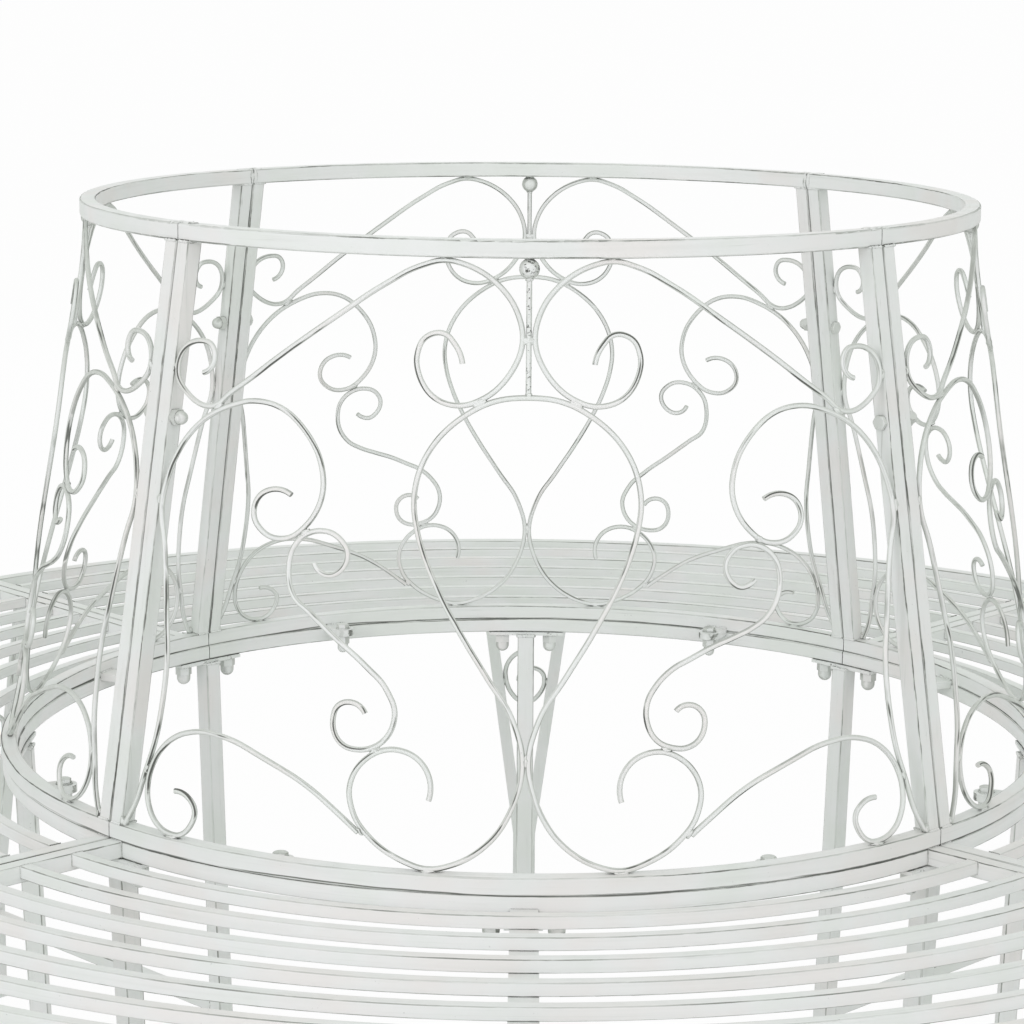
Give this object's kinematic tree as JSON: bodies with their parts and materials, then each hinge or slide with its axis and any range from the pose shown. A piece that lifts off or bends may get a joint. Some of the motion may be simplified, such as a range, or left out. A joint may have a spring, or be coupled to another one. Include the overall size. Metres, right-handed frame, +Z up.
{
  "type": "tree bench",
  "caption": "Round metal tree bench: a slatted ring seat and a scrolled ring back rest in bolted sections on pairs of legs, made to surround a trunk.",
  "frame": {"origin": "middle of the ring, on the ground under the feet", "axes": "+Z up along the ring's middle, -Y towards the middle of the front section"},
  "size_m": [1.603, 1.603, 0.889],
  "materials": {
    "frame_paint": "antique white paint, brushed through to grey on the edges",
    "scroll_paint": "antique white paint, brushed through to grey on the edges",
    "fastener_paint": "antique white paint over steel, worn on the heads"
  },
  "bodies": {
    "root": {"back_top_rail_front": "frame_paint", "back_top_rail_right": "frame_paint", "back_top_rail_back": "frame_paint", "back_top_rail_left": "frame_paint", "back_bottom_rail_front": "frame_paint", "back_bottom_rail_right": "frame_paint", "back_bottom_rail_back": "frame_paint", "back_bottom_rail_left": "frame_paint", "heart_scroll_front": "scroll_paint", "heart_scroll_right": "scroll_paint", "heart_scroll_back": "scroll_paint", "heart_scroll_left": "scroll_paint", "upper_scrolls_front": "scroll_paint", "upper_scrolls_right": "scroll_paint", "upper_scrolls_back": "scroll_paint", "upper_scrolls_left": "scroll_paint", "lower_scrolls_front": "scroll_paint", "lower_scrolls_right": "scroll_paint", "lower_scrolls_back": "scroll_paint", "lower_scrolls_left": "scroll_paint", "seat_inner_rail_front": "frame_paint", "seat_inner_rail_right": "frame_paint", "seat_inner_rail_back": "frame_paint", "seat_inner_rail_left": "frame_paint", "seat_outer_rail_front": "frame_paint", "seat_outer_rail_right": "frame_paint", "seat_outer_rail_back": "frame_paint", "seat_outer_rail_left": "frame_paint", "seat_slats_front": "frame_paint", "seat_slats_right": "frame_paint", "seat_slats_back": "frame_paint", "seat_slats_left": "frame_paint", "back_posts_front_right": "frame_paint", "back_posts_back_right": "frame_paint", "back_posts_back_left": "frame_paint", "back_posts_front_left": "frame_paint", "seat_end_bars_front_right": "frame_paint", "seat_end_bars_back_right": "frame_paint", "seat_end_bars_back_left": "frame_paint", "seat_end_bars_front_left": "frame_paint", "finial_balls": "scroll_paint", "finial_stems": "scroll_paint", "seat_ribs": "frame_paint", "inner_legs": "frame_paint", "outer_leg_arms": "frame_paint", "leg_scrolls": "scroll_paint", "leg_stretchers": "frame_paint", "inner_leg_plates": "frame_paint", "outer_leg_plates": "frame_paint", "inner_feet": "frame_paint", "outer_feet": "frame_paint", "back_lugs": "frame_paint", "seat_lugs": "frame_paint", "seat_bolts": "fastener_paint", "seat_washers": "fastener_paint", "seat_nuts": "fastener_paint", "post_bolts": "fastener_paint", "post_nuts": "fastener_paint", "leg_studs": "fastener_paint", "leg_nuts": "fastener_paint"}
  },
  "joints": []
}
